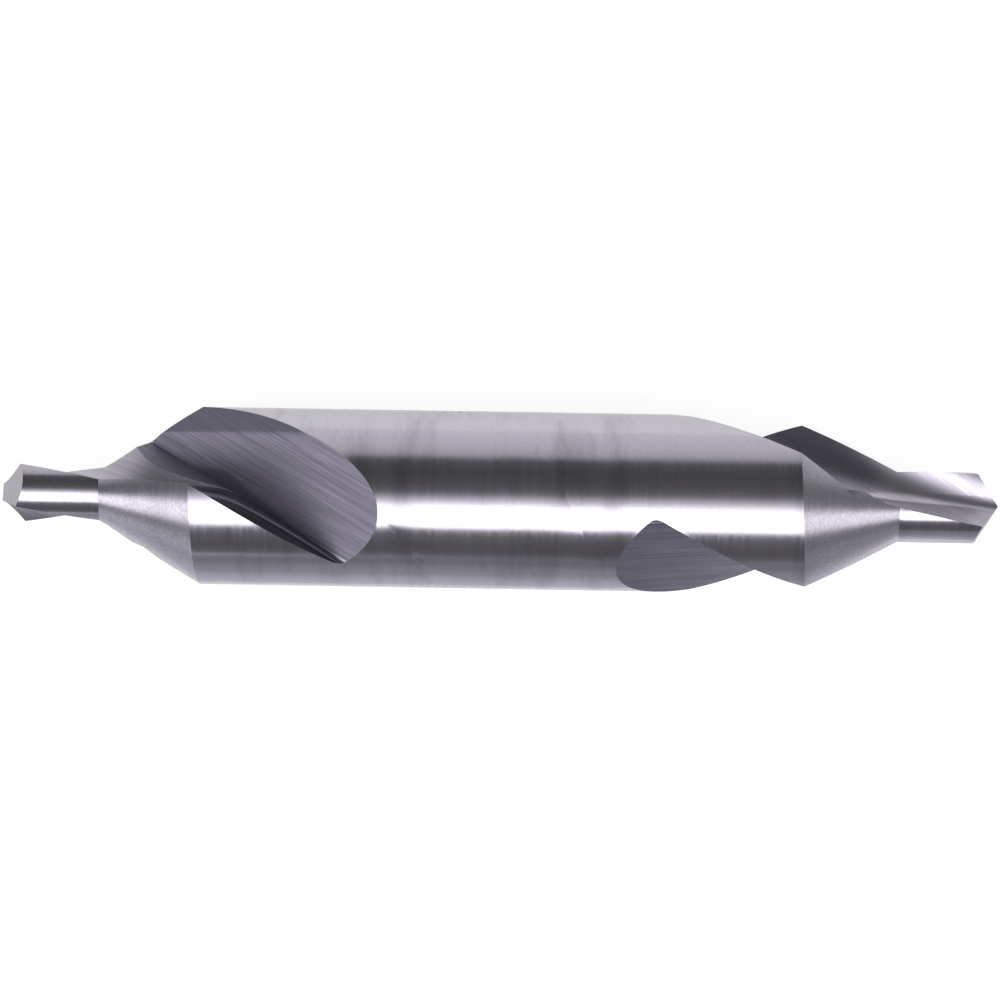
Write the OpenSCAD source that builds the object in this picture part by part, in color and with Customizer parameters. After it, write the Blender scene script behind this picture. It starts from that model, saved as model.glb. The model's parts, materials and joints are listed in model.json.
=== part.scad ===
// Double-ended centre drill: a ground bar with the same pilot drill, countersink and pair of flutes at each end.
// The axis lies along X with the origin at the middle of the bar. All lengths are millimetres, all angles degrees.

/* [Bar] */
// Overall length, from point to point
overall_length = 56; // [48:0.5:80]
// Diameter of the ground body, which a chuck grips
body_diameter = 10; // [9:0.1:12]
// Diameter of the pilot drill at each end
pilot_diameter = 4; // [3.2:0.1:5]
// Length of each pilot drill, from its point to the countersink
pilot_length = 5.6; // [4.5:0.1:7]
// Full angle of each countersink
countersink_angle = 60; // [55:1:75]
// Turn of the cutting lips about the axis, from -Y up towards +Z
lip_turn = 141; // [0:1:180]

/* [Points] */
// Full angle of each drill point
point_angle = 122; // [110:1:135]
// Angle at which the point's flanks fall away behind the lips
point_clearance = 22; // [14:1:26]

/* [Flutes] */
// Helix angle of the flutes at the surface of the body
helix_angle = 30; // [22:1:34]
// Thickness of the web that the two flutes leave between them
web_thickness = 0.8; // [0.6:0.05:1.4]
// Angle between a flute's cutting face and its floor
flute_opening = 113; // [104:0.5:120]
// Angle by which the cutting face lags from the pilot's surface to the body's surface
face_hook = 18; // [8:1:24]
// Distance from the point at which the floor stops turning with the helix
turn_end = 14.2; // [12:0.1:16]
// Distance from the point to the end of the flute's run-out
flute_length = 21.4; // [19.5:0.1:23]
// Angle between the run-out's floor and the axis
run_out_angle = 27.5; // [24:0.5:32]
// Size of the blend between the cutting face and the floor
root_blend = 0.35; // [0.15:0.05:0.6]
// Extra turn that the floor gains along the countersink, which widens the land there
heel_turn = 16; // [0:1:22]
// Distance from the point at which the root of the straight groove passes beside the axis
groove_crossing = 13.8; // [13:0.1:15]
// Angle between the root of the straight groove and the axis
groove_slant = 25.8; // [22:0.2:30]
// Distance from the axis to the ridge of the heel's flat, across the groove
heel_ridge = 3.65; // [3.2:0.05:4.4]
// Angle by which the heel's flat falls away from the floor of the groove
heel_fall = 13; // [0:0.2:20]
// Angle by which the wall of the straight groove leans back below the twisted floor
wall_lean = 31; // [10:1:40]

/* [Lands] */
// Offset of the grinding centre that lowers each land from its cutting edge to its heel
land_offset = 0.15; // [0.05:0.01:0.25]

/* [Hidden] */
$fn = 96;

body_r = body_diameter / 2;
pilot_r = pilot_diameter / 2;
half_length = overall_length / 2;
cone_slope = tan(countersink_angle / 2);
cone_length = (body_r - pilot_r) / cone_slope;

// The lands are turned about an offset centre, so the profile is smaller by what the offset adds at the cutting edge
edge_share = 0.9;
profile_loss = edge_share * land_offset;
// The forms of neighbouring lands reach this far into each other, where the flutes or the body hide the seam
seam_overlap = 0.1;

// Degrees of turn for each millimetre along the axis
turn_rate = 180 * tan(helix_angle) / (PI * body_r);
// Height of the point, which sets where the outer corner of a lip lies along the helix
point_height = pilot_r / tan(point_angle / 2);
flank_fall = [1 / tan(point_angle / 2), tan(point_clearance)];

// Stations along a flute, and points along each side of its section
flute_stations = 56;
face_points = 7;
floor_points = 8;
blend_points = 4;
rim_points = 3;
overrun = 0.06 * body_diameter;
rim_r = 1.8 * body_r;

// Points along the floor and the cutting face crowd towards the axis, where they bend most
floor_crowding = 1.5;
face_crowding = 2;

// Widths over which one law of the floor passes into the next
depth_ease = 0.03 * body_diameter;
turn_ease = 4;
heel_start = pilot_length - 0.12 * cone_length;
heel_end = pilot_length + 0.75 * cone_length;

// The straight groove keeps the direction in which the floor's normal stands still
groove_angle = turn_rate * turn_end - (flute_opening - 90);
// The ridge of the heel's flat moves out by this share of the floor's rise
ridge_lean = 0.18;
far_out = 2 * body_diameter;

function polar(r, a) = [r * cos(a), r * sin(a)];
function smooth_max(a, b, width) = (a + b + sqrt((a - b) * (a - b) + width * width)) / 2;
function smooth_min(a, b, width) = -smooth_max(-a, -b, width);

// The cutting face lies ahead of the axis by half the web, which is this angle at radius r
function lead_angle(r) = asin(web_thickness / 2 / max(r, web_thickness / 2));

// Angle of the cutting face at radius r, at distance z from the point
function face_angle(r, z) =
    turn_rate * z + lead_angle(pilot_r) - lead_angle(r)
    - (face_hook + lead_angle(pilot_r) - lead_angle(body_r)) * (r - pilot_r) / (body_r - pilot_r);

// Rises smoothly from 0 to 1 as t goes from 0 to 1
function eased(t) = let (u = max(0, min(1, t))) u * u * (3 - 2 * u);

// The floor is straight across: its normal turns with the helix and then stands still for the run-out
function floor_angle(z) =
    let (turned = turn_rate * z + heel_turn * eased((z - heel_start) / (heel_end - heel_start)))
    smooth_min(turned, turn_rate * turn_end, turn_ease) - (flute_opening - 90);

// Distance of the floor from the axis: half the web, then a straight rise out of the body
function floor_depth(z) =
    smooth_max(web_thickness / 2, body_r - (flute_length - z) * tan(run_out_angle), depth_ease);

// Radius at which the cutting face meets the floor, halving the interval from low to high
function root_radius(z, low = 0, high = rim_r, steps = 24) =
    let (middle = (low + high) / 2)
    let (above_floor = middle * cos(face_angle(middle, z) - floor_angle(z)) - floor_depth(z))
    steps == 0 ? middle
    : above_floor > 0 ? root_radius(z, low, middle, steps - 1)
    : root_radius(z, middle, high, steps - 1);

function bezier(a, b, c, t) = a * (1 - t) * (1 - t) + 2 * b * t * (1 - t) + c * t * t;

// One section of a flute, counter-clockwise: down the cutting face, round the root, out along the floor, round the rim
function flute_section(z) =
    let (
        root_r = root_radius(z),
        root = polar(root_r, face_angle(root_r, z)),
        normal = floor_angle(z),
        along_floor = polar(1, normal - 90),
        face_foot_r = root_r + root_blend,
        face_foot = polar(face_foot_r, face_angle(face_foot_r, z)),
        floor_foot = root + root_blend * along_floor,
        rim_face = face_angle(rim_r, z),
        rim_floor = normal - acos(floor_depth(z) / rim_r),
        floor_end = polar(rim_r, rim_floor)
    )
    concat(
        [for (i = [0 : face_points - 1])
            let (r = face_foot_r + (rim_r - face_foot_r) * pow(1 - i / face_points, face_crowding))
            polar(r, face_angle(r, z))],
        [for (i = [0 : blend_points]) bezier(face_foot, root, floor_foot, i / blend_points)],
        [for (i = [1 : floor_points]) floor_foot + (floor_end - floor_foot) * pow(i / floor_points, floor_crowding)],
        [for (i = [1 : rim_points - 1]) polar(rim_r, rim_floor + (rim_face - rim_floor) * i / rim_points)]
    );

section_size = face_points + blend_points + 1 + floor_points + rim_points - 1;

// The space that one flute takes out of the bar, lofted through its sections
module flute() {
    first = -overrun;
    step = (flute_length + 2 * overrun) / flute_stations;
    sections = [for (i = [0 : flute_stations]) flute_section(first + i * step)];
    points = [for (i = [0 : flute_stations]) for (p = sections[i]) [p[0], p[1], first + i * step]];
    function at(i, j) = i * section_size + j % section_size;
    sides = [for (i = [0 : flute_stations - 1]) for (j = [0 : section_size - 1]) each [
        [at(i, j), at(i + 1, j), at(i + 1, j + 1)],
        [at(i, j), at(i + 1, j + 1), at(i, j + 1)]
    ]];
    near_cap = [for (j = [0 : section_size - 1]) at(0, j)];
    far_cap = [for (j = [section_size - 1 : -1 : 0]) at(flute_stations, j)];
    polyhedron(points, concat(sides, [near_cap, far_cap]));
}

// Place of the straight groove's wall across the groove, and height of its floor
function wall(z) = (groove_crossing - z) * tan(groove_slant);
function rise(z) = body_r - (flute_length - z) * tan(run_out_angle);

// A body between two rings with the same number of corners, in the directions of the groove
module between(near, far) {
    n = len(near);
    sides = [for (i = [0 : n - 1]) [n + i, n + (i + 1) % n, (i + 1) % n, i]];
    rotate([0, 0, groove_angle])
        polyhedron(concat(near, far), concat([[for (i = [0 : n - 1]) i], [for (i = [n - 1 : -1 : 0]) n + i]], sides));
}

// The straight groove of the run-out: everything above a sloping plane and beyond a slanting wall
module groove(fall) {
    function floor_at(a, z) = rise(z) - tan(fall) * (a - heel_ridge - ridge_lean * rise(z));
    function ring(z) = [
        [floor_at(wall(z), z), -wall(z), z], [floor_at(far_out, z), -far_out, z],
        [far_out, -far_out, z], [far_out, -wall(z), z]
    ];
    between(ring(0), ring(flute_length + overrun));
}

// What the leaning wall takes away more: a ridge whose foot hangs just above the groove's floor
module groove_lean() {
    top = 1.25 * web_thickness;
    gap = 0.02;
    function lean_at(h, z) = wall(z) - (h - rise(z) - 2 * gap) * tan(wall_lean);
    function ring(z) = let (foot = rise(z) + gap) [
        [foot, -lean_at(foot, z), z], [top, foot - top - lean_at(foot, z), z], [top, -lean_at(top, z), z]
    ];
    between(ring(0), ring(groove_crossing - overrun));
}

// Pilot and countersink of one land: half a revolve about the offset centre, to just past the middle of the bar
module land_form() {
    pilot = pilot_r - profile_loss;
    wide = body_r + 2 * land_offset + profile_loss;
    wide_z = pilot_length + (wide - pilot) / cone_slope;
    end_z = half_length + seam_overlap;
    intersection() {
        translate([land_offset, 0, 0])
            rotate_extrude()
                polygon([[0, 0], [pilot, 0], [pilot, pilot_length], [wide, wide_z], [wide, end_z], [0, end_z]]);
        translate([-body_diameter, -seam_overlap, 0])
            cube([2 * body_diameter, body_diameter, end_z]);
    }
}

// Everything ground away in front of one flank of the point
module flank_cut() {
    fall_angle = atan2(flank_fall[1], flank_fall[0]);
    rotate([0, 0, turn_rate * point_height + fall_angle])
        rotate([0, -atan(norm(flank_fall)), 0])
            translate([-body_diameter, -body_diameter, -body_diameter])
                cube([2 * body_diameter, 2 * body_diameter, body_diameter]);
}

// Places its children at both ends of the bar, pointing outwards, and twice round each end
module each_end() {
    for (flip = [0, 180])
        rotate([flip, 0, 0])
            translate([0, 0, -half_length])
                for (turn = [0, 180])
                    rotate([0, 0, turn])
                        children();
}

module centre_drill() {
    color("#b9b9be")
        rotate([0, 90, 0])
            rotate([0, 0, -90 - lip_turn])
                difference() {
                    intersection() {
                        cylinder(h = overall_length, r = body_r, center = true);
                        union() each_end() land_form();
                    }
                    each_end() flank_cut();
                    each_end() flute();
                    each_end() groove(0);
                    each_end() groove(heel_fall);
                    each_end() groove_lean();
                }
}

centre_drill();
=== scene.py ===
# %% [markdown]
# A double-ended centre drill
#
# A centre drill is one bar of high-speed steel. Each end has a thin pilot drill, a 60 degree countersink
# behind it, and two flutes that wind out of both and run out in the ground body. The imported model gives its
# place and its size. This lesson models the bar once more with finer faces and gives each kind of grinding
# its own finish, because on bare steel the grinding marks are the whole look.

# %% Load the frame
import json
from functools import lru_cache
from math import asin, atan, atan2, cos, degrees, hypot, radians, sin, sqrt, tan

import bmesh
import bpy
from mathutils import Matrix, Vector


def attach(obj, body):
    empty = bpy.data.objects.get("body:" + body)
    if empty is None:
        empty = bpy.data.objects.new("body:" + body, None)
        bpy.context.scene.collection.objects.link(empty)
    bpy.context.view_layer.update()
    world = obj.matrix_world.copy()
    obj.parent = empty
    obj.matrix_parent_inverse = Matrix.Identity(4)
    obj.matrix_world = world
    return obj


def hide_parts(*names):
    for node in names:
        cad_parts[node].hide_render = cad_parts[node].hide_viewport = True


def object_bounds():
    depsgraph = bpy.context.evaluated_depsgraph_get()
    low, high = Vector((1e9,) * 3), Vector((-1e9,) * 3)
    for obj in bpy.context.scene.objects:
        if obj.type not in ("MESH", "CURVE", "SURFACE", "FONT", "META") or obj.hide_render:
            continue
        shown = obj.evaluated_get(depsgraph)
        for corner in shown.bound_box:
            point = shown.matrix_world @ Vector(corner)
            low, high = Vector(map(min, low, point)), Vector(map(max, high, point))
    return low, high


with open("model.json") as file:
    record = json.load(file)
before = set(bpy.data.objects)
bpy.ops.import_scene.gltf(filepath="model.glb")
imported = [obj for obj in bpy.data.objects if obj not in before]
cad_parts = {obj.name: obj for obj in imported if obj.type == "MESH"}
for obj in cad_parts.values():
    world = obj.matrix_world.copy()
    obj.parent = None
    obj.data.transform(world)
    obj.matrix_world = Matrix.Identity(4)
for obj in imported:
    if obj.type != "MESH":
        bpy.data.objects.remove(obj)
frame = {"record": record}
cad_low, cad_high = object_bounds()
shank = next(mount for mount in frame["record"]["mounts"] if mount["name"] == "shank")
print("mount radius", shank["dims"]["r_mm"], "mm")
print("box", [round(v * 1000, 2) for v in cad_high - cad_low], "mm")

# %% [markdown]
# The laws of the tool
#
# A grinder sets a centre drill by a few numbers: diameters, the helix, the angle of the cutting face, the
# web and the run-out. Everything below works in millimetres and degrees in the frame of one end: z runs
# from the point into the bar, and angles turn counter-clockwise round it from the cutting lip. The laws are
# those of the solid model, so the dressed bar is the same bar.

# %% Sizes of one end
MM = 0.001
BODY_R = shank["dims"]["r_mm"]
HALF_LENGTH = (cad_high.x - cad_low.x) / 2 / MM
PILOT_R = 2.0
PILOT_LENGTH = 5.6
CONE_SLOPE = tan(radians(30))
CONE_LENGTH = (BODY_R - PILOT_R) / CONE_SLOPE
LIP_TURN = 141

POINT_HALF_ANGLE = 61
POINT_CLEARANCE = 22

HELIX_ANGLE = 30
HALF_WEB = 0.4
FLUTE_OPENING = 113
FACE_HOOK = 18
TURN_END = 14.2
FLUTE_LENGTH = 21.4
RUN_OUT_SLOPE = tan(radians(27.5))
ROOT_BLEND = 0.35
HEEL_TURN = 16

# The run-out is one straight groove, whose root passes beside the axis on a slant
GROOVE_CROSSING = 13.8
GROOVE_SLANT = radians(25.8)
# A flat eases the heel of the groove
HEEL_RIDGE = 3.65
HEEL_FALL = tan(radians(13))
RIDGE_LEAN = 0.18
# The groove's wall leans back, up to this distance from the point
WALL_LEAN = tan(radians(31))
LEAN_END = GROOVE_CROSSING - 0.6

# Each land is turned about an offset centre. Its profile is smaller by what that adds at the cutting edge
LAND_OFFSET = 0.15
EDGE_SHARE = 0.9
PROFILE_LOSS = EDGE_SHARE * LAND_OFFSET

TURN_RATE = degrees(tan(radians(HELIX_ANGLE)) / BODY_R)
DEPTH_EASE = 0.3
TURN_EASE = 4
HEEL_START = PILOT_LENGTH - 0.12 * CONE_LENGTH
HEEL_END = PILOT_LENGTH + 0.75 * CONE_LENGTH
GROOVE_ANGLE = TURN_RATE * TURN_END - (FLUTE_OPENING - 90)
print("turn rate", round(TURN_RATE, 3), "degrees a millimetre")
print("countersink", round(CONE_LENGTH, 3), "mm long")


# %% Laws of the flute
def polar(r, angle):
    """Point of a section, from its radius and its angle."""
    return Vector((r * cos(radians(angle)), r * sin(radians(angle))))


def smooth_max(a, b, width):
    """The larger of two values, rounded off over a width where they meet."""
    return (a + b + sqrt((a - b) ** 2 + width**2)) / 2


def smooth_min(a, b, width):
    return -smooth_max(-a, -b, width)


def lead_angle(r):
    """Angle that half the web takes up at radius r, by which the cutting face lies ahead of the axis."""
    return degrees(asin(HALF_WEB / max(r, HALF_WEB)))


def face_angle(r, z):
    """Angle of the cutting face at radius r, at distance z from the point."""
    lag = FACE_HOOK + lead_angle(PILOT_R) - lead_angle(BODY_R)
    return TURN_RATE * z + lead_angle(PILOT_R) - lead_angle(r) - lag * (r - PILOT_R) / (BODY_R - PILOT_R)


def eased(part):
    """Rises smoothly from 0 to 1 as part goes from 0 to 1."""
    part = min(1.0, max(0.0, part))
    return part * part * (3 - 2 * part)


def floor_angle(z):
    """Angle of the floor's normal: it turns with the helix and then stands still for the run-out."""
    turned = TURN_RATE * z + HEEL_TURN * eased((z - HEEL_START) / (HEEL_END - HEEL_START))
    return smooth_min(turned, TURN_RATE * TURN_END, TURN_EASE) - (FLUTE_OPENING - 90)


def floor_depth(z):
    """Distance of the floor from the axis: half the web, then a straight rise out of the body."""
    return smooth_max(HALF_WEB, BODY_R - (FLUTE_LENGTH - z) * RUN_OUT_SLOPE, DEPTH_EASE)


HALVINGS = 24
FAR_OUT = 1.8 * BODY_R


def halved(low, high, beyond):
    """Halves an interval towards the place from which on a test holds, and gives its last two ends."""
    for _ in range(HALVINGS):
        middle = (low + high) / 2
        if beyond(middle):
            high = middle
        else:
            low = middle
    return low, high


@lru_cache(maxsize=None)
def root_radius(z):
    """Radius at which the cutting face meets the floor."""

    def above_floor(r):
        return r * cos(radians(face_angle(r, z) - floor_angle(z))) > floor_depth(z)

    return sum(halved(0.0, FAR_OUT, above_floor)) / 2


def floor_foot(z):
    """Point of the floor at which the blend of the root starts."""
    root_r = root_radius(z)
    return polar(root_r, face_angle(root_r, z)) + ROOT_BLEND * polar(1, floor_angle(z) - 90)


print("behind the pilot the flute's root lies", round(root_radius(PILOT_LENGTH), 2), "mm from the axis")

# %% Laws of the straight groove
GROOVE_ACROSS = polar(1, GROOVE_ANGLE - 90)
GROOVE_UP = polar(1, GROOVE_ANGLE)


def from_groove(across, height):
    """Point of a section, from its place across the groove and its height."""
    return GROOVE_ACROSS * across + GROOVE_UP * height


def groove_wall(z):
    """Place of the groove's wall, across the groove from the axis."""
    return (GROOVE_CROSSING - z) * tan(GROOVE_SLANT)


def groove_rise(z):
    """Height of the groove's floor above the axis."""
    return BODY_R - (FLUTE_LENGTH - z) * RUN_OUT_SLOPE


def floor_height(across, z):
    """Height of the lower of two floors: the groove with its heel's flat, and the twisted flute."""
    lag = radians(GROOVE_ANGLE - floor_angle(z))
    twisted = (floor_depth(z) - across * sin(lag)) / cos(lag)
    rise = groove_rise(z)
    return min(twisted, rise - HEEL_FALL * max(0.0, across - HEEL_RIDGE - RIDGE_LEAN * rise))


@lru_cache(maxsize=None)
def floor_corners(z, radius):
    """Heel, ridge, wall's foot and wall's top in a bar of this radius, as places across and heights."""
    depth = floor_depth(z)
    lag = radians(GROOVE_ANGLE - floor_angle(z))
    reach = sqrt(max(0.0, radius**2 - depth**2))
    edge = (reach * cos(lag) + depth * sin(lag), depth * cos(lag) - reach * sin(lag))
    rise = groove_rise(z)
    lean = WALL_LEAN if z < LEAN_END else 0.0
    top_at = (groove_wall(z) + lean * (rise - depth / cos(lag))) / (1 - lean * tan(lag))
    top_at = max(top_at, floor_foot(z).dot(GROOVE_ACROSS))
    if z < PILOT_LENGTH or top_at >= edge[0]:
        return edge, edge, edge, edge
    top = (top_at, (depth - top_at * sin(lag)) / cos(lag))
    wall = max(top_at, groove_wall(z))
    foot = (wall, min(top[1], floor_height(wall, z)))

    def outside(point):
        return hypot(*point) > radius

    def on_wall(part):
        return top[0] + (foot[0] - top[0]) * part, top[1] + (foot[1] - top[1]) * part

    def on_floor(across):
        return across, floor_height(across, z)

    if z < LEAN_END and outside(foot):
        heel = on_wall(halved(0.0, 1.0, lambda part: outside(on_wall(part)))[0])
        return heel, heel, heel, top
    heel_at = halved(max(0.0, wall), radius, lambda across: outside(on_floor(across)))[0]
    heel = on_floor(heel_at) if heel_at > wall else foot
    ridge_at = max(wall, min(HEEL_RIDGE + RIDGE_LEAN * rise, heel[0]))
    ridge = on_floor(ridge_at) if wall < ridge_at < heel[0] else heel
    return heel, ridge, foot, top


print("the groove passes", round(groove_rise(GROOVE_CROSSING), 2), "mm above the axis")


# %% Laws of the land
def profile_radius(z):
    """Radius of pilot and countersink about the land's own centre."""
    return PILOT_R - PROFILE_LOSS + max(0.0, z - PILOT_LENGTH) * CONE_SLOPE


def land_radius(angle, z):
    """Radius of the land about the bar's axis, which the round bar limits."""
    turn = radians(angle)
    reach = LAND_OFFSET * cos(turn) + sqrt(profile_radius(z) ** 2 - (LAND_OFFSET * sin(turn)) ** 2)
    return min(BODY_R, reach)


def cone_end(angle):
    """Distance from the point at which the countersink meets the round bar."""
    reach = sqrt(BODY_R**2 - 2 * BODY_R * LAND_OFFSET * cos(radians(angle)) + LAND_OFFSET**2)
    return PILOT_LENGTH + (reach - PILOT_R + PROFILE_LOSS) / CONE_SLOPE


# Stations are measured at this angle, near the middle of a land
LAND_MIDDLE = 100
CONE_END = cone_end(LAND_MIDDLE)
print("countersink ends", round(CONE_END, 2), "mm from the point")

# %% [markdown]
# Sections
#
# The bar is modelled as a sheet wrapped round its axis. Across the sheet lie the two flutes and the two
# lands, and along it lie stations from the point to the middle of the bar. At each station the section is
# worked out by the laws above: from the heel along the flute's floor, round its root, out along the cutting
# face to the cutting edge, and then over the land to the next heel. The two edges keep their columns, so
# they stay crisp lines along the whole flute.

# %% Columns of the sheet
# Columns of the flute: heel's flat, groove, wall, twisted floor, root and cutting face
FLUTE_PARTS = (10, 24, 4, 18, 12, 20)
FLUTE_COLUMNS = sum(FLUTE_PARTS)
HEEL_FLAT, GROOVE, WALL, TWISTED, ROOT, FACE_START = range(6)
LAND_COLUMNS = 40
HALF_COLUMNS = FLUTE_COLUMNS + LAND_COLUMNS


def column_step(column):
    """The column's place along the flute's section, in which each part of the section is one step long."""
    for part, count in enumerate(FLUTE_PARTS):
        if column <= count:
            return part + column / count
        column -= count


print(FLUTE_COLUMNS, "columns for a flute and", LAND_COLUMNS, "for a land")

# %% Heel and cutting edge of one station
# Stations this near the countersink's edge bend with it
EDGE_REACH = 1.6
# Rounds in which a heel and a cutting edge settle on their bent station
HEEL_ROUNDS = 8
EDGE_ROUNDS = 12


def bent(z, angle):
    """Distance of a point on a station that bends with the countersink's edge, so the edge is a row."""
    weight = max(0.0, 1 - abs(z - CONE_END) / EDGE_REACH)
    return z + weight * (cone_end(angle) - CONE_END)


def heel_of(z):
    """Radius, angle and distance of the heel at which the floor starts, on the land half a turn away."""
    radius = BODY_R
    place = z
    for _ in range(HEEL_ROUNDS):
        heel = from_groove(*floor_corners(place, radius)[0])
        angle = degrees(atan2(heel.y, heel.x))
        place = bent(z, angle + 180)
        radius = land_radius(angle + 180, place)
    return radius, angle, place


def edge_of(z):
    """Radius and distance of the cutting edge, where the cutting face meets the land."""
    radius = BODY_R
    place = z
    for _ in range(EDGE_ROUNDS):
        angle = face_angle(radius, place)
        place = bent(z, angle)
        radius = land_radius(angle, place)
    return radius, place


print("behind the pilot the cutting edge lies", round(edge_of(PILOT_LENGTH)[0], 2), "mm from the axis")

# %% Points round one station
# Millimetres of cutting face for one step of t, about the length of the floor
FACE_STEP = 4.5


def flute_point(t, z, heel_radius):
    """Point of the flute's section, at step t from the heel."""
    root_r = root_radius(z)
    face_r = root_r + ROOT_BLEND
    if t > FACE_START:
        r = face_r + (t - FACE_START) * FACE_STEP
        return polar(r, face_angle(r, z))
    if t > ROOT:
        k = t - ROOT
        root = polar(root_r, face_angle(root_r, z))
        face_foot = polar(face_r, face_angle(face_r, z))
        return floor_foot(z) * (1 - k) ** 2 + root * 2 * k * (1 - k) + face_foot * k**2
    corners = [from_groove(*corner) for corner in floor_corners(z, heel_radius)]
    corners.append(floor_foot(z))
    part = min(int(t), ROOT - 1)
    return corners[part].lerp(corners[part + 1], t - part)


def flute_end(z):
    """Step t at which the flute's section leaves the bar, and the distance of that point."""
    radius, place = edge_of(z)
    face_r = root_radius(place) + ROOT_BLEND
    if face_r < radius:
        return FACE_START + (radius - face_r) / FACE_STEP, place
    _, ridge, foot, _ = floor_corners(z, BODY_R)
    beside_axis = GROOVE + ridge[0] / (ridge[0] - foot[0])
    ends = halved(beside_axis, FACE_START, lambda t: flute_point(t, z, BODY_R).length > BODY_R)
    return sum(ends) / 2, z


def half_section(z):
    """Points of one flute and the land behind it, half way round the bar."""
    radius, start, start_z = heel_of(z)
    t_end, edge_z = flute_end(z)
    points = []
    for column in range(FLUTE_COLUMNS + 1):
        place = start_z + (edge_z - start_z) * column / FLUTE_COLUMNS
        t = column_step(column)
        if t > FACE_START:
            t = FACE_START + (t - FACE_START) * (t_end - FACE_START)
        points.append(flute_point(min(t, t_end), place, radius).to_3d() + Vector((0, 0, place)))
    edge = degrees(atan2(points[-1].y, points[-1].x))
    width = (start + 180 - edge) % 360
    for column in range(1, LAND_COLUMNS):
        angle = edge + width * column / LAND_COLUMNS
        place = bent(z, angle)
        points.append(polar(land_radius(angle, place), angle).to_3d() + Vector((0, 0, place)))
    return points


# %% Stations along one end
# The sheet starts in front of the point, where the flanks are cut later
START_Z = -1.5
# The stations crowd where the section changes fast: at the corner of the run-out and at its tip
CORNER_START = 18.2
CORNER_END = 19.8
TIP_GAP = 0.006


def spread(start, end, count):
    """Even distances, without the last."""
    return [start + (end - start) * i / count for i in range(count)]


def crowded(start, end, count):
    """Distances whose steps shrink towards the end."""
    return [end - (end - start) * (1 - i / count) ** 2 for i in range(count + 1)]


flute_stations = [
    *spread(START_Z, PILOT_LENGTH, 26),
    *spread(PILOT_LENGTH, CONE_END, 24),
    *spread(CONE_END, CORNER_START, 28),
    *spread(CORNER_START, CORNER_END, 26),
    *crowded(CORNER_END, FLUTE_LENGTH - TIP_GAP, 18),
]
BODY_ROWS = 14
print(len(flute_stations), "stations with flutes,", 2 * HALF_COLUMNS, "columns")

# %% [markdown]
# One end of the bar
#
# A grid of squares is the sheet. Each of its corners is moved to the point that its column and row stand
# for, and the seam is merged. Past the flutes the columns spread out evenly, so that the middle row is the
# same when the bar is turned end for end. Each square knows which surface it belongs to, and that chooses
# its finish later. Two plane cuts then grind the flanks of the point.


# %% Rows of points
def unrolled(points):
    """Angles of a row of points, without the jump from 180 to -180 degrees."""
    angles = [degrees(atan2(points[0].y, points[0].x))]
    for point in points[1:]:
        turned = degrees(atan2(point.y, point.x)) - angles[-1]
        angles.append(angles[-1] + (turned + 180) % 360 - 180)
    return angles


rows = []
for z in flute_stations:
    half = half_section(z)
    rows.append(half + [Vector((-p.x, -p.y, p.z)) for p in half])

tip_angles = unrolled(rows[-1])
column_turn = 180 / HALF_COLUMNS
first_turn = round(tip_angles[0] / column_turn) * column_turn
for row in range(BODY_ROWS + 1):
    part = row / BODY_ROWS
    place = FLUTE_LENGTH + (HALF_LENGTH - FLUTE_LENGTH) * part
    even = [first_turn + column * column_turn for column in range(2 * HALF_COLUMNS)]
    turns = [a + (b - a) * eased(part) for a, b in zip(tip_angles, even)]
    rows.append([polar(BODY_R, turn).to_3d() + Vector((0, 0, place)) for turn in turns])
print(len(rows), "rows of", len(rows[0]), "points")

# %% Wrap the sheet
# Surfaces, in the order of their finishes
LAND, CONE, FLOOR, TWIST, FACE, FLANK = range(6)
FLUTE_SURFACES = (FLOOR, TWIST, FACE)
ROW_SLACK = 0.001
SEAM_GAP = 1e-5


def surface_of(row, column):
    """The ground surface that a square of the sheet belongs to."""
    if row >= len(flute_stations) - 1:
        return LAND
    column = column % HALF_COLUMNS
    if column < FLUTE_COLUMNS:
        step = column_step(column + 0.5)
        if step < TWISTED:
            return FLOOR
        return TWIST if step < ROOT else FACE
    on_cone = PILOT_LENGTH - ROW_SLACK <= flute_stations[row] < CONE_END - ROW_SLACK
    return CONE if on_cone else LAND


sheet = bmesh.new()
flute_side = sheet.faces.layers.int.new("flute_side")
flute_part = sheet.faces.layers.int.new("flute_part")
# Each point's share of painted shade, a darker colour in the flutes' corners
painted_shade = sheet.verts.layers.float.new("painted_shade")
bmesh.ops.create_grid(sheet, x_segments=2 * HALF_COLUMNS, y_segments=len(rows) - 1, size=1)


def grid_place(co):
    """Column and row of a point of the plain grid, which spans -1 to 1 both ways."""
    return (co.x + 1) * HALF_COLUMNS, (co.y + 1) / 2 * (len(rows) - 1)


for square in sheet.faces:
    column, row = grid_place(square.calc_center_median())
    square.material_index = surface_of(int(row), int(column))
    square.smooth = True
    square[flute_side] = 1 if column < HALF_COLUMNS else -1
    square[flute_part] = int(column_step(min(column % HALF_COLUMNS, FLUTE_COLUMNS)))
for corner in sheet.verts:
    column, row = grid_place(corner.co)
    corner.co = rows[round(row)][round(column) % (2 * HALF_COLUMNS)]
bmesh.ops.remove_doubles(sheet, verts=sheet.verts, dist=SEAM_GAP)
print("wrapped", len(sheet.faces), "squares")

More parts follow.
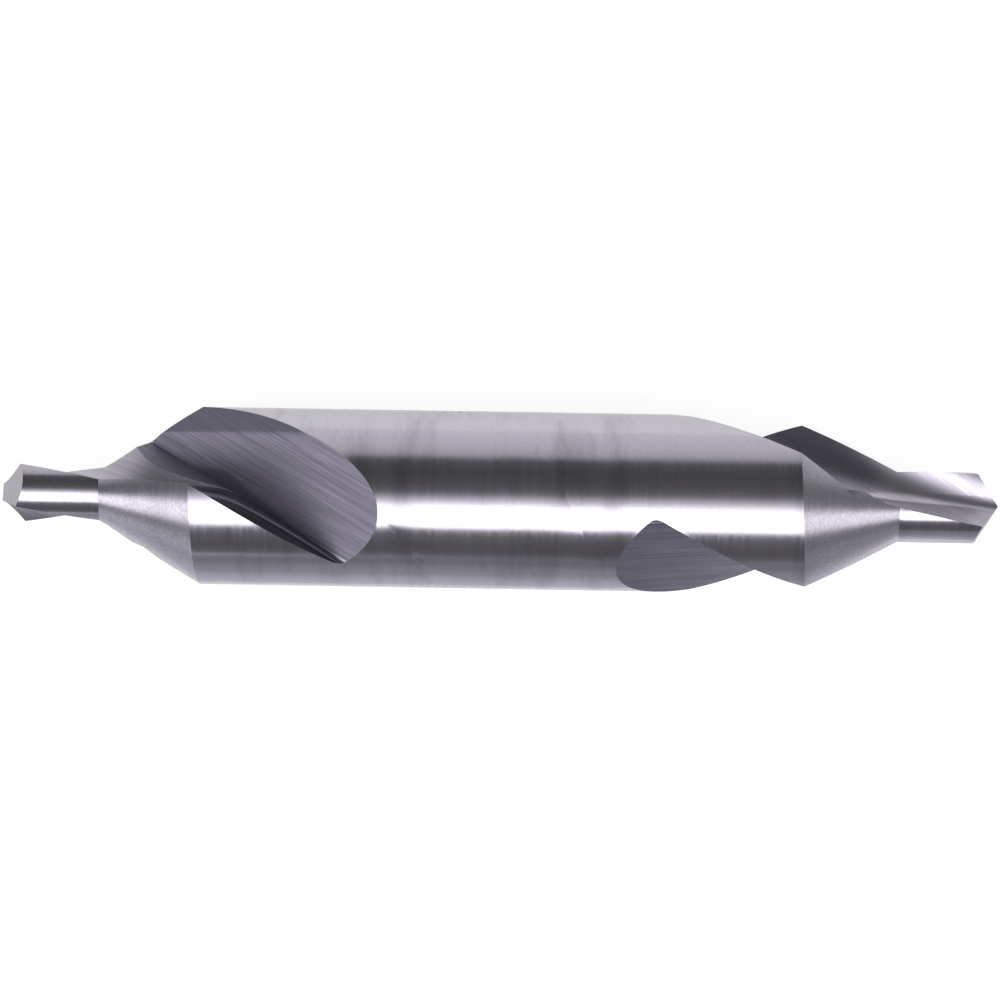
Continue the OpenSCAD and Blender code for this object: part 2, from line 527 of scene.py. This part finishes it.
# %% Grind the point
fall = Vector((1 / tan(radians(POINT_HALF_ANGLE)), tan(radians(POINT_CLEARANCE))))
point_height = PILOT_R / tan(radians(POINT_HALF_ANGLE))
flank_turn = TURN_RATE * point_height + degrees(atan2(fall.y, fall.x))
flank_tilt = atan(fall.length)
for half_turn in (0, 180):
    downhill = polar(sin(flank_tilt), flank_turn + half_turn)
    cut = bmesh.ops.bisect_plane(
        sheet,
        geom=[*sheet.verts, *sheet.edges, *sheet.faces],
        plane_co=(0, 0, 0),
        plane_no=(-downhill.x, -downhill.y, cos(flank_tilt)),
        clear_inner=True,
    )
    rim = [e for e in cut["geom_cut"] if isinstance(e, bmesh.types.BMEdge) and e.is_boundary]
    flank = bmesh.ops.edgeloop_fill(sheet, edges=rim, mat_nr=FLANK)["faces"]
    print("flank", half_turn, "has", len(flank), "face of", len(rim), "edges")

# %% [markdown]
# Where the grinding marks run
#
# The wheel that cut the flutes left straight scratches along them. A pattern on the bar's own coordinates
# can't follow a twisted face, so each flute face gets a map: its first axis runs along the scratches and
# its second across them, both in millimetres.

# %% Map the marks
FACE_MARK_ANGLE = radians(35)
# The two flutes of an end read the pattern this far to either side of its middle
MARK_SHIFT = 20
marks = sheet.loops.layers.uv.new("marks")


def floor_reach(co, side, in_groove):
    """Distance of a point across its flute's floor, from the axis towards the root."""
    return side * co.xy.dot(-GROOVE_ACROSS if in_groove else polar(1, floor_angle(co.z) + 90))


flute_faces = [part for part in sheet.faces if part.material_index in FLUTE_SURFACES]
for part in flute_faces:
    side = part[flute_side]
    in_groove = part[flute_part] < TWISTED
    for loop in part.loops:
        co = loop.vert.co
        if part[flute_part] < FACE_START:
            across, turn = floor_reach(co, side, in_groove), GROOVE_SLANT
        else:
            across, turn = hypot(co.x, co.y), FACE_MARK_ANGLE
        u = co.z * cos(turn) + across * sin(turn)
        v = across * cos(turn) - co.z * sin(turn)
        loop[marks].uv = (u, v + MARK_SHIFT * side)
print("marks on", len(flute_faces), "faces")

# %% [markdown]
# Painted shade in the flutes
#
# The corners of a flute lie in shade, which is painted here as a darker colour. It could be painted by hand,
# or found from how deep a place lies. Here each point of the mesh gets its share of painted shade by the part
# of the flute that it lies on, and the finishes read that share. So the painted shade is darkest on the wall,
# in the root and on the strip of floor beside them.

# %% Map the painted shade
# Distances from the point between which the painted shade sets in on each part, and thins out on the floor
WALL_SPAN = (7.6, 8.6)
ROOT_SPAN = (9.0, 12.0)
FACE_SPAN = (PILOT_LENGTH, PILOT_LENGTH + 2)
THIN_SPAN = (15.0, 19.0)
# Share of painted shade on the wall near the heel, on the cutting face and on the heel's flat, and what
# thinning takes
WALL_SHARE = 0.45
FACE_SHARE = 0.55
HEEL_SHARE = 0.4
THIN_LOSS = 0.7
# Width of the painted shade on the groove's floor where it is widest, and how fast it narrows to both sides
SHADE_WIDEST = 12.6
SHADE_WIDTH = 1.1
SHADE_SWELLS = 0.45
SHADE_NARROWS = 0.19
SHADE_EASE = 0.35


def passed(z, span):
    """Rises smoothly from 0 to 1 between two distances from the point."""
    start, end = span
    return eased((z - start) / (end - start))


def painted_shade_width(z):
    """Width of the painted shade on the groove's floor, which swells and then thins out along the flute."""
    swelling = SHADE_WIDTH - SHADE_SWELLS * (SHADE_WIDEST - z)
    narrowing = SHADE_WIDTH - SHADE_NARROWS * (z - SHADE_WIDEST)
    return min(swelling, narrowing)


def painted_shade_of(co, side, kind):
    """Share of painted shade at a point, by the part of the flute that it lies on."""
    if kind == HEEL_FLAT:
        return HEEL_SHARE
    if kind == GROOVE:
        beside = side * co.xy.dot(GROOVE_ACROSS) - groove_wall(co.z)
        along = passed(co.z, ROOT_SPAN) * (1 - THIN_LOSS * passed(co.z, THIN_SPAN))
        return along * eased((painted_shade_width(co.z) - beside) / SHADE_EASE)
    if kind == WALL:
        return WALL_SHARE + (1 - WALL_SHARE) * passed(co.z, WALL_SPAN)
    if kind == ROOT:
        return passed(co.z, ROOT_SPAN)
    if kind == FACE_START:
        return FACE_SHARE * passed(co.z, FACE_SPAN)
    return 0.0


# Each point takes the most painted shade of the flute faces round it
for part in flute_faces:
    for corner in part.verts:
        corner[painted_shade] = max(corner[painted_shade], painted_shade_of(corner.co, part[flute_side], part[flute_part]))
print("film on", sum(corner[painted_shade] > 0 for corner in sheet.verts), "of", len(sheet.verts), "points")

# %% [markdown]
# The whole bar
#
# Both ends are alike, so that a worn drill can be turned round in its chuck. The second end could be
# wrapped again, or mirrored, but a mirrored flute would wind the wrong way. So the first end is copied and
# turned end for end, and the two middle rows are merged.

# %% Join both ends
SHARP_ANGLE = radians(24)
# Points this near the middle of the bar are merged with their neighbours from the other end
MIDDLE_REACH = 0.01
MIDDLE_GAP = 1e-3
sheet.transform(Matrix.Translation((0, 0, -HALF_LENGTH)))
twin = bmesh.ops.duplicate(sheet, geom=[*sheet.verts, *sheet.edges, *sheet.faces])["geom"]
twin_verts = [v for v in twin if isinstance(v, bmesh.types.BMVert)]
bmesh.ops.transform(sheet, matrix=Matrix.Rotation(radians(180), 4, "X"), verts=twin_verts)
middle_verts = [v for v in sheet.verts if abs(v.co.z) < MIDDLE_REACH]
bmesh.ops.remove_doubles(sheet, verts=middle_verts, dist=MIDDLE_GAP)
bmesh.ops.recalc_face_normals(sheet, faces=sheet.faces)
for edge in sheet.edges:
    edge.smooth = edge.is_manifold and edge.calc_face_angle() < SHARP_ANGLE
loose = [e for e in sheet.edges if not e.is_manifold]
place = Matrix.Rotation(radians(90), 4, "Y") @ Matrix.Rotation(radians(-90 - LIP_TURN), 4, "Z")
sheet.transform(Matrix.Scale(MM, 4) @ place)
drill_mesh = bpy.data.meshes.new("ground_drill")
sheet.to_mesh(drill_mesh)
sheet.free()
drill = bpy.data.objects.new("ground_drill", drill_mesh)
bpy.context.scene.collection.objects.link(drill)
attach(drill, "root")
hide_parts("centre_drill")
print("drill:", len(drill_mesh.polygons), "faces,", len(loose), "open edges")

# %% [markdown]
# Finishes
#
# Bare ground steel is all metal, and its finishes differ in where the scratches run and how deep they are.
# A picture of steel could be laid over the mesh, but its reflections would stand still. So every finish is
# the same metal with its own marks, made by nodes: a noise pulled long along the scratches drives
# roughness, tint and a very shallow bump. A few helpers keep the node trees short.


# %% Small helpers for node trees
def node(tree, kind, sockets=None, **settings):
    """Adds a node, sets its settings by name and its sockets by name or number."""
    made = tree.nodes.new(kind)
    for name, value in settings.items():
        setattr(made, name, value)
    for name, value in (sockets or {}).items():
        made.inputs[name].default_value = value
    return made


def stretched_noise(tree, vector, scale, detail):
    """A noise with a scale of its own, in cycles a unit, along each axis of the vector."""
    mapping = node(tree, "ShaderNodeMapping", {"Scale": scale})
    noise = node(tree, "ShaderNodeTexNoise", {"Scale": 1.0, "Detail": detail, "Roughness": 0.6})
    tree.links.new(vector, mapping.inputs["Vector"])
    tree.links.new(mapping.outputs["Vector"], noise.inputs["Vector"])
    return noise.outputs["Fac"]


def spanned(tree, value, low, high, to_low, to_high):
    """Stretches the span from low to high of a value onto another span."""
    span = node(tree, "ShaderNodeMapRange", {1: low, 2: high, 3: to_low, 4: to_high})
    tree.links.new(value, span.inputs[0])
    return span.outputs[0]


def shared(tree, first, second, share):
    """Mixes two values, with this share of the second."""
    mix = node(tree, "ShaderNodeMix", {0: share}, data_type="FLOAT")
    tree.links.new(first, mix.inputs[2])
    tree.links.new(second, mix.inputs[3])
    return mix.outputs[0]


def tinted(tree, factor, bright, dull):
    """Passes from one colour to another."""
    mix = node(tree, "ShaderNodeMix", {6: (*bright, 1), 7: (*dull, 1)}, data_type="RGBA")
    tree.links.new(factor, mix.inputs[0])
    return mix.outputs[2]


# Steel seen edge on stays a little darker than a perfect mirror
EDGE_TINT = (0.8, 0.79, 0.81)
# Reflections smear a quarter turn away from the scratches
SMEAR_TURN = 0.25


def steel(name, anisotropy):
    """A bare metal whose reflections smear across its scratches."""
    material = bpy.data.materials.new(name)
    material.use_nodes = True
    shader = material.node_tree.nodes["Principled BSDF"]
    shader.inputs["Metallic"].default_value = 1.0
    shader.inputs["Specular Tint"].default_value = (*EDGE_TINT, 1)
    shader.inputs["Anisotropic"].default_value = anisotropy
    shader.inputs["Anisotropic Rotation"].default_value = SMEAR_TURN
    drill_mesh.materials.append(material)
    print("finish", len(drill_mesh.materials), name)
    return material.node_tree, shader


def scratch(tree, shader, height, depth):
    """A shallow bump, with its depth in millimetres."""
    bump = node(tree, "ShaderNodeBump", {"Strength": 1.0, "Distance": depth * MM})
    tree.links.new(height, bump.inputs["Height"])
    tree.links.new(bump.outputs["Normal"], shader.inputs["Normal"])


# %% [markdown]
# Shank, pilots and countersinks
#
# A round grinder turns the bar against its wheel, so the scratches run round the bar and reflections smear
# along it. Rings could be modelled, but they would be a thousandth of a millimetre deep. A noise on the
# bar's own coordinates is enough, fine along the bar and slow across it, with a tangent that runs round the
# bar. The countersinks get more of a fine grain, which breaks their reflections up.

# %% Ground round the bar
PER_MM = 1000
STEEL = (0.50, 0.482, 0.515)
TARNISH = (0.36, 0.344, 0.372)
# Cycles a metre along the bar and in the two directions across it
ROUND_LINES = (6 * PER_MM, 0.1 * PER_MM, 0.1 * PER_MM)
CLOUDS = (0.5 * PER_MM, 0.12 * PER_MM, 0.12 * PER_MM)
GRAIN = (7 * PER_MM, 7 * PER_MM, 7 * PER_MM)
# Spans of a noise that become the whole span of a roughness or a tint
NOISE_SPAN = (0.3, 0.7)
CLOUD_SPAN = (0.5, 0.75)
SPECK_SPAN = (0.4, 0.6)


def round_ground(name, anisotropy, rough, depth, grain_share):
    """Scratches run round the bar, with a fine grain and slow clouds of tarnish over them."""
    tree, shader = steel(name, anisotropy)
    place = node(tree, "ShaderNodeTexCoord").outputs["Object"]
    tangent = node(tree, "ShaderNodeTangent", direction_type="RADIAL", axis="X")
    tree.links.new(tangent.outputs["Tangent"], shader.inputs["Tangent"])
    lines = stretched_noise(tree, place, ROUND_LINES, 3)
    grain = stretched_noise(tree, place, GRAIN, 2)
    cloud = stretched_noise(tree, place, CLOUDS, 4)
    scratches = shared(tree, lines, grain, grain_share)
    tree.links.new(spanned(tree, scratches, *NOISE_SPAN, *rough), shader.inputs["Roughness"])
    smudges = spanned(tree, cloud, *CLOUD_SPAN, 0, 1)
    specks = spanned(tree, grain, *SPECK_SPAN, 0, 1)
    dull = shared(tree, smudges, specks, grain_share)
    tree.links.new(tinted(tree, dull, STEEL, TARNISH), shader.inputs["Base Color"])
    scratch(tree, shader, scratches, depth)


round_ground("ground_land", 0.6, (0.16, 0.26), 0.0006, 0.16)
round_ground("ground_countersink", 0.7, (0.18, 0.32), 0.0016, 0.5)

# %% [markdown]
# Floors and cutting faces
#
# The wheel that ground the flutes ran along them. The scratches are drawn on the map made above, so they
# bend with the twisted faces, which a pattern in space would not. The groove, the twisted floor and the
# cutting face each have a gloss of their own, the groove is tinted darker as painted shade, and the painted
# shade of the flutes' corners is mixed in last.

# %% Ground along the flute
# The groove's colours are a darker copy of the faces', as painted shade: they stand in for the shade of the
# table beside the bar, which the groove reflects
SHADED_GROOVE_BRIGHT = (0.29, 0.276, 0.326)
SHADED_GROOVE_DULL = (0.165, 0.156, 0.19)
FACE_BRIGHT = (0.58, 0.559, 0.592)
FACE_DULL = (0.38, 0.366, 0.393)
# Colour of the painted shade in the flutes' corners
PAINTED_SHADE_COLOUR = (0.155, 0.147, 0.18)
# Cycles a millimetre along the marks and across them
FINE_LINES = (0.22, 9.0, 1.0)
BROAD_LINES = (0.1, 2.2, 1.0)
BROAD_SHARE = 0.3
LINE_SPAN = (0.32, 0.68)
MARK_DEPTH = 0.0012


def with_painted_shade(tree, colour):
    """Passes from a colour to the colour of the painted shade, by each point's share of it."""
    share = node(tree, "ShaderNodeAttribute", attribute_name="painted_shade")
    mix = node(tree, "ShaderNodeMix", {7: (*PAINTED_SHADE_COLOUR, 1)}, data_type="RGBA")
    tree.links.new(share.outputs["Fac"], mix.inputs[0])
    tree.links.new(colour, mix.inputs[6])
    return mix.outputs[2]


def flute_ground(name, anisotropy, rough, bright, dull):
    """Fine scratches along the flute, with a few broad ones, that darken and roughen the face in lines."""
    tree, shader = steel(name, anisotropy)
    place = node(tree, "ShaderNodeUVMap", uv_map="marks").outputs["UV"]
    tangent = node(tree, "ShaderNodeTangent", direction_type="UV_MAP", uv_map="marks")
    tree.links.new(tangent.outputs["Tangent"], shader.inputs["Tangent"])
    fine = stretched_noise(tree, place, FINE_LINES, 3)
    broad = stretched_noise(tree, place, BROAD_LINES, 2)
    lines = shared(tree, fine, broad, BROAD_SHARE)
    tree.links.new(spanned(tree, lines, *NOISE_SPAN, *rough), shader.inputs["Roughness"])
    colour = tinted(tree, spanned(tree, lines, *LINE_SPAN, 0, 1), bright, dull)
    tree.links.new(with_painted_shade(tree, colour), shader.inputs["Base Color"])
    scratch(tree, shader, lines, MARK_DEPTH)


# The groove takes the darker colours of painted shade
flute_ground("ground_groove", 0.3, (0.42, 0.54), SHADED_GROOVE_BRIGHT, SHADED_GROOVE_DULL)
flute_ground("ground_twisted_floor", 0.3, (0.38, 0.5), FACE_BRIGHT, FACE_DULL)
flute_ground("ground_cutting_face", 0.5, (0.26, 0.36), FACE_BRIGHT, FACE_DULL)

# %% [markdown]
# Point flanks
#
# The flanks are two small planes across the point. They could have scratches of their own, but at their
# size single ones can't be told apart, so a plain fine grain is chosen.

# %% Ground point flanks
FLANK_GRAIN = (8 * PER_MM, 8 * PER_MM, 8 * PER_MM)
FLANK_ROUGH = (0.38, 0.5)
tree, shader = steel("ground_flank", 0.0)
place = node(tree, "ShaderNodeTexCoord").outputs["Object"]
grain = stretched_noise(tree, place, FLANK_GRAIN, 3)
tree.links.new(spanned(tree, grain, *NOISE_SPAN, *FLANK_ROUGH), shader.inputs["Roughness"])
tree.links.new(tinted(tree, grain, STEEL, TARNISH), shader.inputs["Base Color"])

# %% [markdown]
# White table
#
# The bar lies on a white table. A table lit until it is white would also wash out the steel. So this one
# glows by itself where the camera or a reflection sees it, and a grey paper under the glow catches the
# bar's soft shadow.


# %% Helpers for the stage
def laid_sheet(name, place):
    """A flat sheet on the stage, two units wide before it is put in its place."""
    mesh = bpy.data.meshes.new(name)
    flat = bmesh.new()
    bmesh.ops.create_grid(flat, x_segments=1, y_segments=1, size=1.0)
    flat.transform(place)
    flat.to_mesh(mesh)
    flat.free()
    laid = bpy.data.objects.new(name, mesh)
    bpy.context.scene.collection.objects.link(laid)
    return laid


def cleared(owner):
    """The emptied node tree of a new material or world."""
    owner.use_nodes = True
    owner.node_tree.nodes.clear()
    return owner.node_tree


# %% White table
TABLE_HALF = 2.0
TABLE_GLOW = 0.86
TABLE_GREY = 0.3
table_place = Matrix.Translation((0, 0, -BODY_R * MM)) @ Matrix.Scale(TABLE_HALF, 4)
table = laid_sheet("table", table_place)
white = bpy.data.materials.new("white_table")
tree = cleared(white)
light_path = node(tree, "ShaderNodeLightPath")
seen = node(tree, "ShaderNodeMath", operation="MAXIMUM")
shown = node(tree, "ShaderNodeMath", operation="MAXIMUM")
glow = node(tree, "ShaderNodeMath", {1: TABLE_GLOW}, operation="MULTIPLY")
emission = node(tree, "ShaderNodeEmission", {"Color": (1, 1, 1, 1)})
paper = node(tree, "ShaderNodeBsdfDiffuse", {"Color": (TABLE_GREY, TABLE_GREY, TABLE_GREY, 1)})
both = node(tree, "ShaderNodeAddShader")
output = node(tree, "ShaderNodeOutputMaterial")
tree.links.new(light_path.outputs["Is Camera Ray"], seen.inputs[0])
tree.links.new(light_path.outputs["Is Glossy Ray"], seen.inputs[1])
tree.links.new(seen.outputs[0], shown.inputs[0])
tree.links.new(light_path.outputs["Is Transmission Ray"], shown.inputs[1])
tree.links.new(shown.outputs[0], glow.inputs[0])
tree.links.new(glow.outputs[0], emission.inputs["Strength"])
tree.links.new(emission.outputs[0], both.inputs[0])
tree.links.new(paper.outputs[0], both.inputs[1])
tree.links.new(both.outputs[0], output.inputs["Surface"])
table.data.materials.append(white)
print("table", 2 * TABLE_HALF, "m wide,", BODY_R, "mm below the axis")

# %% [markdown]
# Grey card
#
# The lower side of the bar looks at the table in front and would go as white as it. The table could be
# darker, but then the picture would be too. A grey card in front of the bar is hidden from the camera and
# throws no shadow, so only the steel sees it. It is lighter near the bar and past the bar's ends, where the
# lower edge and the countersinks look.

# %% Lay the grey card
CARD_NEAR = 7.0
CARD_FAR = 2000.0
CARD_GAP = 0.05
card_middle = Matrix.Translation((0, -(CARD_NEAR + CARD_FAR) / 2 * MM, (CARD_GAP - BODY_R) * MM))
card_size = Matrix.Diagonal((CARD_FAR * MM, (CARD_FAR - CARD_NEAR) / 2 * MM, 1, 1))
card = laid_sheet("grey_card", card_middle @ card_size)
card.visible_camera = False
card.visible_diffuse = False
card.visible_shadow = False
print("card from", CARD_NEAR, "to", CARD_FAR, "mm in front of the axis")

# %% Shade the grey card
CARD_TINT = (0.98, 0.97, 1.08)
# Greys from its near edge to its far edge, by the share of the way
CARD_STOPS = ((0.0, 0.9), (0.0035, 0.48), (0.016, 0.28), (0.2, 0.22))
# Past the bar's ends the card is lighter, most on the left
CARD_LEFT = 0.75
CARD_RIGHT = 0.42
CARD_SIDE_START = 22.0
CARD_SIDE_FULL = 40.0


def fill_ramp(ramp, stops, tint=(1, 1, 1)):
    """Sets tinted greys along a colour ramp, from pairs of place and value."""
    elements = ramp.color_ramp.elements
    while len(elements) < len(stops):
        elements.new(0.5)
    for element, (place, value) in zip(elements, stops):
        element.position = place
        element.color = (*(value * share for share in tint), 1)


grey = bpy.data.materials.new("grey_card")
tree = cleared(grey)
place = node(tree, "ShaderNodeTexCoord").outputs["Object"]
split = node(tree, "ShaderNodeSeparateXYZ")
ramp = node(tree, "ShaderNodeValToRGB")
emission = node(tree, "ShaderNodeEmission", {"Strength": 1.0})
output = node(tree, "ShaderNodeOutputMaterial")
tree.links.new(place, split.inputs[0])
tree.links.new(spanned(tree, split.outputs["Y"], -CARD_NEAR * MM, -CARD_FAR * MM, 0, 1), ramp.inputs[0])
fill_ramp(ramp, CARD_STOPS, CARD_TINT)
shade = ramp.outputs["Color"]
for side, value in ((-1, CARD_LEFT), (1, CARD_RIGHT)):
    tint = (*(value * share for share in CARD_TINT), 1)
    lighter = node(tree, "ShaderNodeMix", {7: tint}, data_type="RGBA")
    reach = spanned(tree, split.outputs["X"], side * CARD_SIDE_START * MM, side * CARD_SIDE_FULL * MM, 0, 1)
    tree.links.new(reach, lighter.inputs[0])
    tree.links.new(shade, lighter.inputs[6])
    shade = lighter.outputs[2]
tree.links.new(shade, emission.inputs["Color"])
tree.links.new(emission.outputs[0], output.inputs["Surface"])
card.data.materials.append(grey)
print("card goes up to", CARD_LEFT, "at the left and", CARD_RIGHT, "at the right")

# %% [markdown]
# Light
#
# Bare steel shows only what it reflects. Lamps could be placed one by one, but a round bar draws each of
# them out to a line along itself, so the light is planned as bands round the bar's axis: one soft box high
# in front, a dark ceiling, and a pale wall behind. The countersinks look to the ends of the studio. There
# the bands pass into grey and the soft box sinks, and the two ends differ a little.

# %% Bands of light round the bar
# Degrees from the table's edge in front, over the ceiling, to the wall behind, each with its brightness
SOFT_BOX = 3.0
BANDS = (
    (0, 0.22), (8, 0.15), (20, 0.15), (36, 0.2), (41, 0.5), (44, SOFT_BOX), (68, SOFT_BOX), (78, 1.0),
    (88, 0.2), (98, 0.13), (116, 0.1), (133, 0.13), (141, 0.66), (155, 0.84), (180, 1.0),
)
# Towards the sides the bands pass into the grey of the studio's ends
SIDE_START = 0.45
SIDE_FULL = 0.85
LEFT_SHARE = 0.34
RIGHT_SHARE = 0.5
SIDE_GREY = 0.4
# and the soft box sinks by an angle and hangs lower by this share of the way below its top
LEFT_SINK = radians(14)
RIGHT_SINK = radians(5)
BOX_TOP = radians(68)
BOX_HANG = 0.25
STUDIO_TINT = (0.99, 0.97, 1.05)


def by_side(tree, sideways, left, right):
    """A value that grows from nothing in the middle to one value at the left and another at the right."""
    both = node(tree, "ShaderNodeMath", operation="ADD")
    tree.links.new(spanned(tree, sideways, -SIDE_START, -SIDE_FULL, 0, left), both.inputs[0])
    tree.links.new(spanned(tree, sideways, SIDE_START, SIDE_FULL, 0, right), both.inputs[1])
    return both.outputs[0]


print(len(BANDS), "bands, the soft box at", SOFT_BOX)

# %% Hang the studio round the bar
world = bpy.data.worlds.new("studio")
bpy.context.scene.world = world
tree = cleared(world)
direction = node(tree, "ShaderNodeTexCoord").outputs["Generated"]
split = node(tree, "ShaderNodeSeparateXYZ")
front = node(tree, "ShaderNodeMath", {1: -1.0}, operation="MULTIPLY")
turn = node(tree, "ShaderNodeMath", operation="ARCTAN2")
ramp = node(tree, "ShaderNodeValToRGB")
strength = node(tree, "ShaderNodeMath", {1: SOFT_BOX}, operation="MULTIPLY")
sunk = node(tree, "ShaderNodeMath", operation="ADD")
below = node(tree, "ShaderNodeMath", {1: BOX_TOP}, operation="SUBTRACT")
under = node(tree, "ShaderNodeMath", {1: 0.0}, operation="MINIMUM")
hung = node(tree, "ShaderNodeMath", operation="MULTIPLY_ADD")
greyed = node(tree, "ShaderNodeMix", {3: SIDE_GREY}, data_type="FLOAT")
background = node(tree, "ShaderNodeBackground", {"Color": (*STUDIO_TINT, 1)})
output = node(tree, "ShaderNodeOutputWorld")
tree.links.new(direction, split.inputs[0])
tree.links.new(split.outputs["Y"], front.inputs[0])
tree.links.new(split.outputs["Z"], turn.inputs[0])
tree.links.new(front.outputs[0], turn.inputs[1])
sideways = split.outputs["X"]
tree.links.new(turn.outputs[0], sunk.inputs[0])
tree.links.new(by_side(tree, sideways, LEFT_SINK, RIGHT_SINK), sunk.inputs[1])
tree.links.new(sunk.outputs[0], below.inputs[0])
tree.links.new(below.outputs[0], under.inputs[0])
tree.links.new(under.outputs[0], hung.inputs[0])
tree.links.new(by_side(tree, sideways, -BOX_HANG, -BOX_HANG), hung.inputs[1])
tree.links.new(sunk.outputs[0], hung.inputs[2])
tree.links.new(spanned(tree, hung.outputs[0], 0, radians(180), 0, 1), ramp.inputs[0])
fill_ramp(ramp, [(angle / 180, value / SOFT_BOX) for angle, value in BANDS])
tree.links.new(ramp.outputs["Color"], strength.inputs[0])
tree.links.new(strength.outputs[0], greyed.inputs[2])
tree.links.new(by_side(tree, sideways, LEFT_SHARE, RIGHT_SHARE), greyed.inputs[0])
tree.links.new(greyed.outputs[0], background.inputs["Strength"])
tree.links.new(background.outputs[0], output.inputs["Surface"])
print("studio of", len(tree.nodes), "nodes")

# %% [markdown]
# Camera
#
# The picture is taken from nearly straight above with a long lens. The bar lies a little turned in it, with
# its right end nearer the lens and lower. The bar could be turned under the camera, but it has to stay in
# its frame, so the camera is turned instead, by its height, yaw and roll.

# %% Camera
CAMERA_HEIGHT = radians(80)
CAMERA_YAW = radians(0.85)
CAMERA_ROLL = radians(0.944)
CAMERA_DISTANCE = 216.0
PICTURE = 1000
PIXELS_PER_MM = 17.75
PICTURE_SHIFT = (1.0, 0.3)

toward = Vector((0, -cos(CAMERA_HEIGHT), sin(CAMERA_HEIGHT)))
up = Vector((0, sin(CAMERA_HEIGHT), cos(CAMERA_HEIGHT)))
right = Vector((1, 0, 0))
yawed_right = right * cos(CAMERA_YAW) - toward * sin(CAMERA_YAW)
yawed_toward = right * sin(CAMERA_YAW) + toward * cos(CAMERA_YAW)
camera_x = yawed_right * cos(CAMERA_ROLL) + up * sin(CAMERA_ROLL)
camera_y = up * cos(CAMERA_ROLL) - yawed_right * sin(CAMERA_ROLL)
nudge = (camera_x * PICTURE_SHIFT[0] + camera_y * PICTURE_SHIFT[1]) / PIXELS_PER_MM
camera_data = bpy.data.cameras.new("camera")
camera_data.lens = camera_data.sensor_width * CAMERA_DISTANCE * PIXELS_PER_MM / PICTURE
camera_data.clip_start = 0.01
camera = bpy.data.objects.new("camera", camera_data)
bpy.context.scene.collection.objects.link(camera)
turned = Matrix((camera_x, camera_y, yawed_toward)).transposed().to_4x4()
camera.matrix_world = Matrix.Translation((yawed_toward * CAMERA_DISTANCE + nudge) * MM) @ turned
bpy.context.scene.camera = camera
bpy.context.scene.view_settings.view_transform = "Standard"
print("lens", round(camera_data.lens, 1), "mm")

# %% [markdown]
# Closing the scene
#
# The dressed bar has to fill the same box as the solid model. The last line brings the scene up to date.

# %% Update the scene
bpy.context.view_layer.update()
